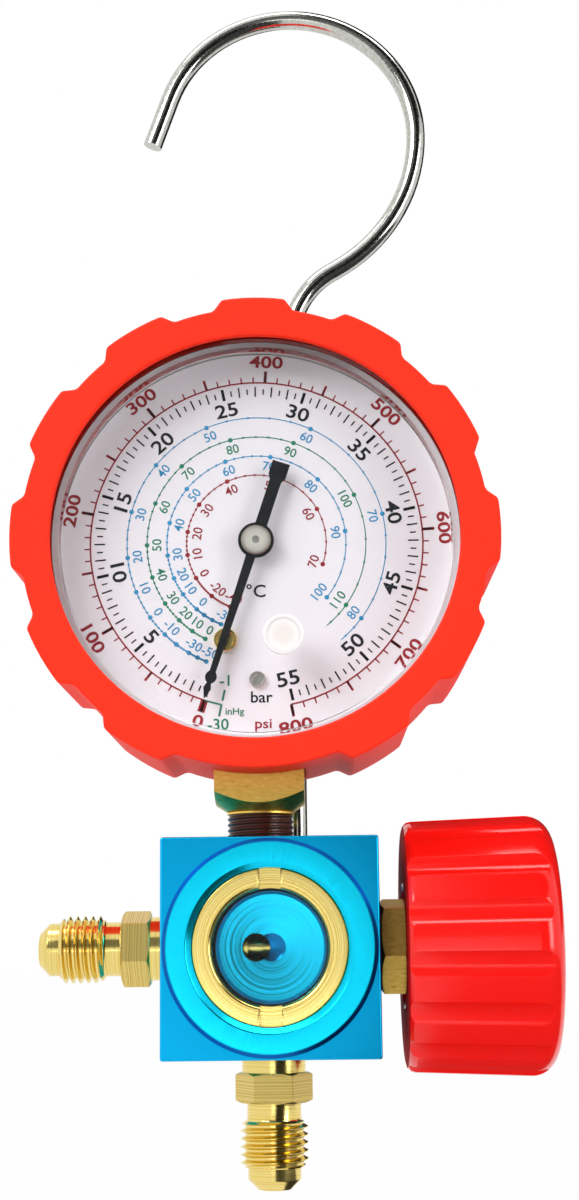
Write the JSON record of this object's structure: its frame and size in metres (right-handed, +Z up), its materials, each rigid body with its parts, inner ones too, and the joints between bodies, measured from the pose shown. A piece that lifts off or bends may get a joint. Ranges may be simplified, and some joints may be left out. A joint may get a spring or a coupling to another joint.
{
  "type": "refrigerant manifold gauge",
  "caption": "Refrigerant manifold with sight glass, flare ports, handwheel, booted pressure gauge and wire hook.",
  "frame": {"origin": "where the part hangs: the inside top of the hook's loop, in the wire's middle plane", "axes": "+Z up along the hook's shank, -Y out of the dial, +X towards the handwheel"},
  "size_m": [0.0889, 0.0426, 0.2159],
  "materials": {
    "bright_steel_wire": "polished",
    "blue_anodised": "anodised satin",
    "clear_glass": "clear",
    "black_rubber": "matte",
    "turned_brass": "turned",
    "white_ptfe": "matte",
    "red_rubber": "matte",
    "painted_case": "satin",
    "clear_lens": "clear",
    "white_plug": "translucent",
    "white_dial": "matte white",
    "steel": "machined",
    "black_pointer": "satin",
    "nickel": "turned",
    "spring_bronze": "drawn",
    "red_plastic": "gloss"
  },
  "bodies": {
    "manifold": {"hook": "bright_steel_wire", "valve_block": "blue_anodised", "sight_glass_ring": "turned_brass", "sight_glass_lens": "clear_glass", "sight_glass_seal": "black_rubber", "hose_fitting_left": "turned_brass", "hose_fitting_bottom": "turned_brass", "bonnet_nut": "turned_brass", "bonnet_seal": "black_rubber", "stem_packing": "white_ptfe", "gauge_socket": "turned_brass", "bourdon_tube": "spring_bronze", "gauge_case": "painted_case", "gauge_lens": "clear_lens", "lens_gasket": "white_ptfe", "lens_plug": "white_plug", "dial_plate": "white_dial", "dial_screw": "steel", "zero_screw": "turned_brass", "rubber_boot": "red_rubber", "movement_front_plate": "turned_brass", "movement_back_plate": "turned_brass", "movement_pillars": "turned_brass", "plate_screws": "steel", "movement_screws": "steel", "hairspring": "spring_bronze", "spring_stud": "turned_brass"},
    "valve_piston": {"seat_piston": "turned_brass", "seat_seal": "white_ptfe", "piston_o_ring": "black_rubber", "stem_retainer": "steel"},
    "handwheel_and_stem": {"valve_stem": "turned_brass", "handwheel": "red_plastic", "handwheel_screw": "steel", "handwheel_cap": "red_plastic"},
    "pointer_and_pinion": {"pointer": "black_pointer", "pointer_bush": "nickel", "pinion_arbor": "steel"},
    "sector": {"sector_gear": "turned_brass", "sector_arbor": "steel"},
    "tube_end": {"tube_tip": "turned_brass", "tip_pin": "steel"},
    "link_bar": {"link": "turned_brass", "tail_pin": "steel"}
  },
  "joints": [
    {"name": "stem_travel", "type": "slide", "parent": "manifold", "child": "valve_piston", "axis": [1, 0, 0], "range_m": [0, 0.0042]},
    {"name": "handwheel_turn", "type": "hinge", "parent": "valve_piston", "child": "handwheel_and_stem", "pos_m": [-0.0042, -0.015, -0.17355], "axis": [1, 0, 0], "range_deg": [0, 1170]},
    {"name": "pointer_turn", "type": "hinge", "parent": "manifold", "child": "pointer_and_pinion", "pos_m": [-0.00605, -0.015, -0.1066], "axis": [0, 1, 0], "range_deg": [-6.6, 330], "deforming": ["hairspring"]},
    {"name": "sector_swing", "type": "hinge", "parent": "manifold", "child": "sector", "pos_m": [-0.00605, -0.015, -0.1186], "axis": [0, 1, 0], "range_deg": [-36.7, 0.8]},
    {"name": "tube_end_travel", "type": "slide", "parent": "manifold", "child": "tube_end", "axis": [0.9205, 0, 0.3907], "range_m": [-0.00005, 0.00301], "deforming": ["bourdon_tube"]},
    {"name": "link_swing", "type": "hinge", "parent": "tube_end", "child": "link_bar", "pos_m": [0.00845, -0.015, -0.122], "axis": [0, 1, 0], "range_deg": [-2.3, 0.1]}
  ],
  "couplings": [
    {"joint": "stem_travel", "follows": "handwheel_turn", "m_per_rad": 0.00019894},
    {"joint": "pointer_turn", "follows": "tube_end_travel", "rad_per_m": 1911.8},
    {"joint": "sector_swing", "follows": "tube_end_travel", "rad_per_m": -212.43},
    {"joint": "link_swing", "follows": "tube_end_travel", "rad_per_m": -12.449}
  ]
}
